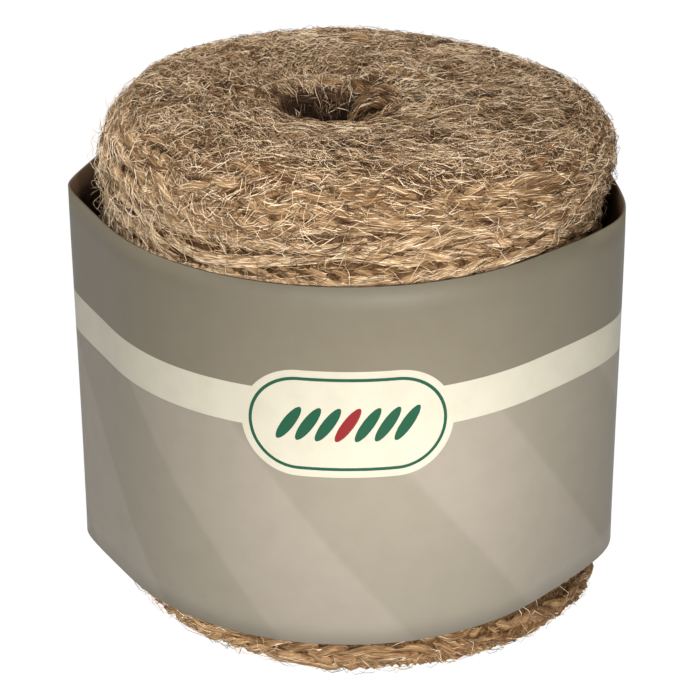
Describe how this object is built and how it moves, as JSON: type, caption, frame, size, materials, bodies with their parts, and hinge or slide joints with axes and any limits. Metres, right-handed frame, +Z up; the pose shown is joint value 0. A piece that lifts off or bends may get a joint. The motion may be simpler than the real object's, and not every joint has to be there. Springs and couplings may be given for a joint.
{
  "type": "roll of jute twine in a card sleeve",
  "caption": "Upright roll of three-millimetre jute twine, wound around an open middle hole, held by a plain card sleeve with slack at its two folds.",
  "frame": {"origin": "On the floor under the middle of the part, between the extreme sides of the sleeve.", "axes": "+Z is up along the roll's winding axis, -Y is the front that the picture shows, +X is to the right."},
  "size_m": [0.0953, 0.0906, 0.0936],
  "materials": {
    "twine": "matt",
    "card": "satin"
  },
  "bodies": {
    "root": {"twine_roll": "twine", "sleeve": "card"}
  },
  "joints": []
}
